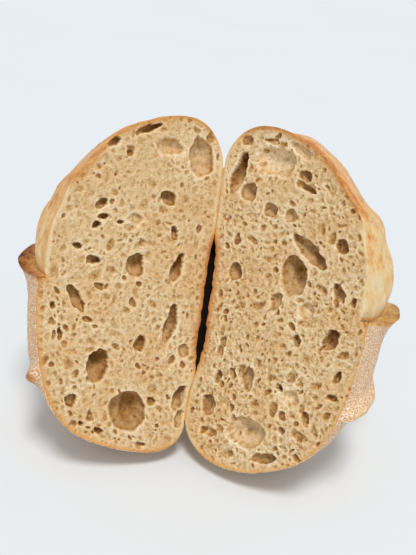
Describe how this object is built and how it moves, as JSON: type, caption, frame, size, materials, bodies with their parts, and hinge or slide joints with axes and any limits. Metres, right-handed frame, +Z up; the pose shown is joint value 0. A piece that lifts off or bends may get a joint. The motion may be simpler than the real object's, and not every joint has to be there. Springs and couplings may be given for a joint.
{
  "type": "sourdough loaf",
  "caption": "Round sourdough loaf cut in half and stood open on its rims, base to base, with airy crumb, a crisp ear and a floured crust.",
  "frame": {"origin": "on the surface the loaf stands on, under the middle of its box", "axes": "+Z up, +X to the right seen from the cut faces, -Y towards the viewer of the cut faces"},
  "size_m": [0.2532, 0.1806, 0.2203],
  "materials": {
    "crust_and_crumb": "dry open crumb inside a crisp floured crust"
  },
  "bodies": {
    "root": {"half_left": "crust_and_crumb", "half_right": "crust_and_crumb"}
  },
  "joints": []
}
